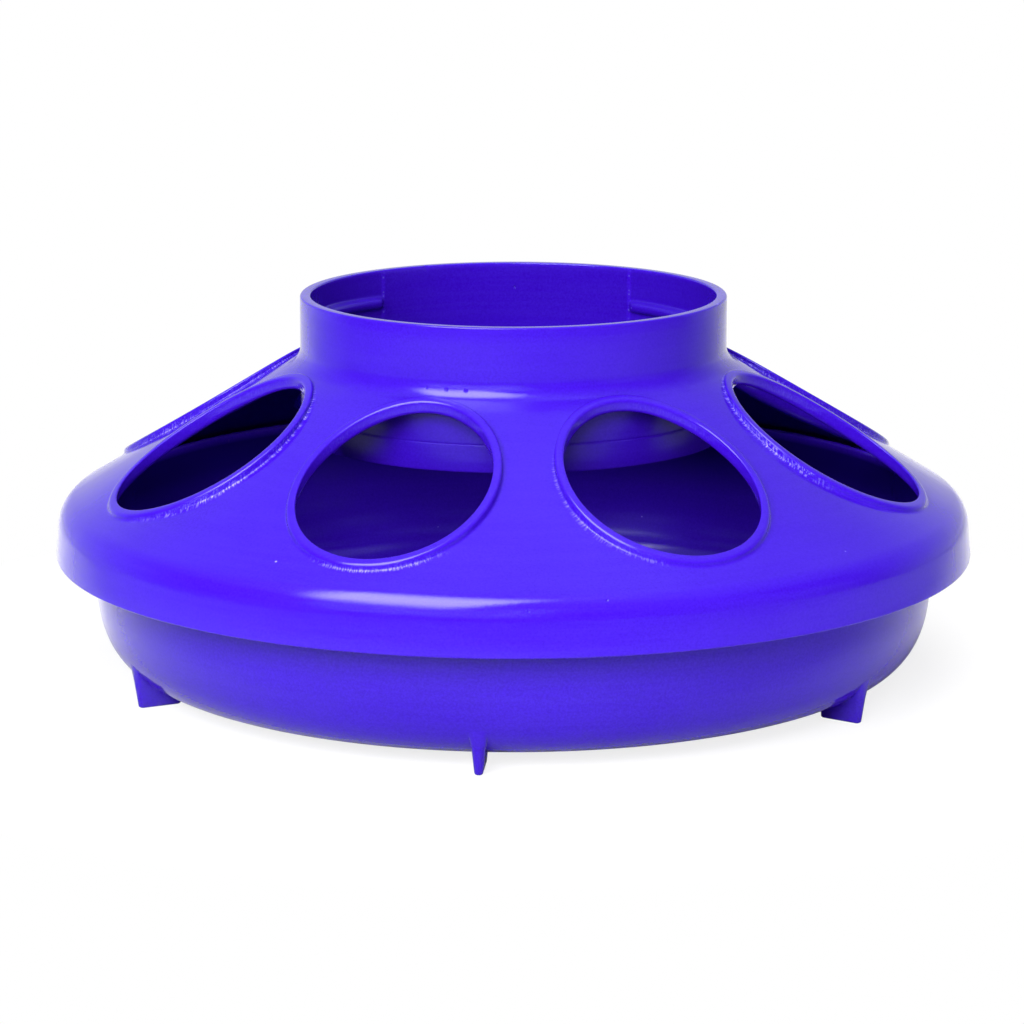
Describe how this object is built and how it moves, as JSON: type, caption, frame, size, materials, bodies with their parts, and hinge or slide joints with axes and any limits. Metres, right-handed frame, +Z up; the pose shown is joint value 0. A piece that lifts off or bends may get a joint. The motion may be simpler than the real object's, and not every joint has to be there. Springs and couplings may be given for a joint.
{
  "type": "jar feeder base",
  "caption": "Round chick feeder base for a screw-on jar: a sloping cover with a threaded neck and round feed openings lifts off a shallow dish that stands on fins.",
  "frame": {"origin": "on the object's upright centre line, in the plane its feet stand on", "axes": "+Z up along the centre line; -Y is the front, midway between two feed holes"},
  "size_m": [0.165, 0.165, 0.0683],
  "materials": {
    "dish_plastic": "glossy injection-moulded blue-violet plastic",
    "cover_plastic": "glossy injection-moulded blue-violet plastic"
  },
  "bodies": {
    "dish_body": {"feed_dish": "dish_plastic"},
    "cover_body": {"feeder_cover": "cover_plastic"}
  },
  "joints": [
    {"name": "cover_lift", "type": "slide", "parent": "dish_body", "child": "cover_body", "axis": [0, 0, 1], "range_m": [0, 0.06]}
  ]
}
